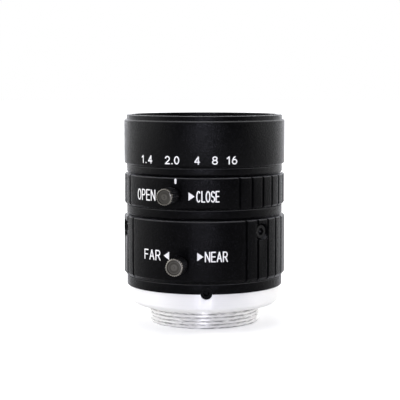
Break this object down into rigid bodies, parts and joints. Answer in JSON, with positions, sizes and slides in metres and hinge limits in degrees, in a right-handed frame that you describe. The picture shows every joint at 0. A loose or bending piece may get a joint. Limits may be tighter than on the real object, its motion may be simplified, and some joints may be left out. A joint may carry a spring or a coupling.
{
  "type": "c-mount machine vision lens",
  "caption": "Fixed-focus machine vision lens with a C-mount thread, a focus ring and an iris ring with thumb screws, and a working diaphragm.",
  "frame": {"origin": "centre of the end face of the threaded nose, on the lens axis", "axes": "+Z along the lens axis towards the front glass; -Y towards the side with the index marks; +X to the right seen from that side"},
  "size_m": [0.0368, 0.0426, 0.0474],
  "materials": {
    "black_aluminium": "matte",
    "bare_aluminium": "satin",
    "steel": "satin",
    "black_steel": "satin",
    "blade_steel": "matte",
    "brass": "satin",
    "coated_glass": "gloss"
  },
  "bodies": {
    "mount": {"mount_ring": "bare_aluminium", "mount_set_screws": "black_steel", "rear_barrel": "black_aluminium", "guide_key": "steel", "guide_key_screws": "steel", "focus_retaining_ring": "brass"},
    "focus_ring": {"focus_ring": "black_aluminium", "focus_grub_screws": "black_steel", "focus_drive_sleeve": "brass"},
    "focus_lock": {"focus_lock_screw": "steel"},
    "inner_barrel": {"lens_barrel": "black_aluminium", "cam_pins": "steel", "iris_base_plate": "black_aluminium", "iris_retaining_ring": "black_aluminium", "front_cell": "black_aluminium", "second_element": "coated_glass", "front_spacer": "black_aluminium", "front_element": "coated_glass", "front_retaining_ring": "black_aluminium", "front_ring": "black_aluminium", "front_barrel": "black_aluminium", "rear_cell": "black_aluminium", "third_element": "coated_glass", "upper_spacer": "black_aluminium", "fourth_element": "coated_glass", "lower_spacer": "black_aluminium", "rear_element": "coated_glass", "rear_retaining_ring": "black_aluminium"},
    "iris_ring": {"iris_ring": "black_aluminium", "iris_drive_pin": "steel", "iris_cam_ring": "black_aluminium"},
    "iris_lock": {"iris_lock_screw": "steel"},
    "blade_1": {"iris_blade_1": "blade_steel"},
    "blade_2": {"iris_blade_2": "blade_steel"},
    "blade_3": {"iris_blade_3": "blade_steel"},
    "blade_4": {"iris_blade_4": "blade_steel"},
    "blade_5": {"iris_blade_5": "blade_steel"},
    "blade_6": {"iris_blade_6": "blade_steel"}
  },
  "joints": [
    {"name": "focus_turn", "type": "hinge", "parent": "mount", "child": "focus_ring", "pos_m": [0, 0, 0.018], "axis": [0, 0, 1], "range_deg": [0, 100]},
    {"name": "barrel_slide", "type": "slide", "parent": "mount", "child": "inner_barrel", "axis": [0, 0, 1], "range_m": [0, 0.0025]},
    {"name": "iris_turn", "type": "hinge", "parent": "inner_barrel", "child": "iris_ring", "pos_m": [0, 0, 0.0307], "axis": [0, 0, 1], "range_deg": [-24, 40]},
    {"name": "focus_lock_turn", "type": "hinge", "parent": "focus_ring", "child": "focus_lock", "pos_m": [0, 0, 0.0154], "axis": [-0.2656, -0.9641, 0], "range_deg": [0, 360]},
    {"name": "iris_lock_turn", "type": "hinge", "parent": "iris_ring", "child": "iris_lock", "pos_m": [0, 0, 0.0304], "axis": [-0.3502, -0.9367, 0], "range_deg": [0, 360]},
    {"name": "blade_1_swing", "type": "hinge", "parent": "inner_barrel", "child": "blade_1", "pos_m": [0.0128, 0.00226, 0.0285], "axis": [0, 0, 1], "range_deg": [-8.25, 13.75]},
    {"name": "blade_2_swing", "type": "hinge", "parent": "inner_barrel", "child": "blade_2", "pos_m": [0.00445, 0.01222, 0.0285], "axis": [0, 0, 1], "range_deg": [-8.25, 13.75]},
    {"name": "blade_3_swing", "type": "hinge", "parent": "inner_barrel", "child": "blade_3", "pos_m": [-0.00836, 0.00996, 0.0285], "axis": [0, 0, 1], "range_deg": [-8.25, 13.75]},
    {"name": "blade_4_swing", "type": "hinge", "parent": "inner_barrel", "child": "blade_4", "pos_m": [-0.0128, -0.00226, 0.0285], "axis": [0, 0, 1], "range_deg": [-8.25, 13.75]},
    {"name": "blade_5_swing", "type": "hinge", "parent": "inner_barrel", "child": "blade_5", "pos_m": [-0.00445, -0.01222, 0.0285], "axis": [0, 0, 1], "range_deg": [-8.25, 13.75]},
    {"name": "blade_6_swing", "type": "hinge", "parent": "inner_barrel", "child": "blade_6", "pos_m": [0.00836, -0.00996, 0.0285], "axis": [0, 0, 1], "range_deg": [-8.25, 13.75]}
  ],
  "couplings": [
    {"joint": "barrel_slide", "follows": "focus_turn", "m_per_rad": 0.0014324},
    {"joint": "blade_1_swing", "follows": "iris_turn", "ratio": 0.34375},
    {"joint": "blade_2_swing", "follows": "iris_turn", "ratio": 0.34375},
    {"joint": "blade_3_swing", "follows": "iris_turn", "ratio": 0.34375},
    {"joint": "blade_4_swing", "follows": "iris_turn", "ratio": 0.34375},
    {"joint": "blade_5_swing", "follows": "iris_turn", "ratio": 0.34375},
    {"joint": "blade_6_swing", "follows": "iris_turn", "ratio": 0.34375}
  ]
}
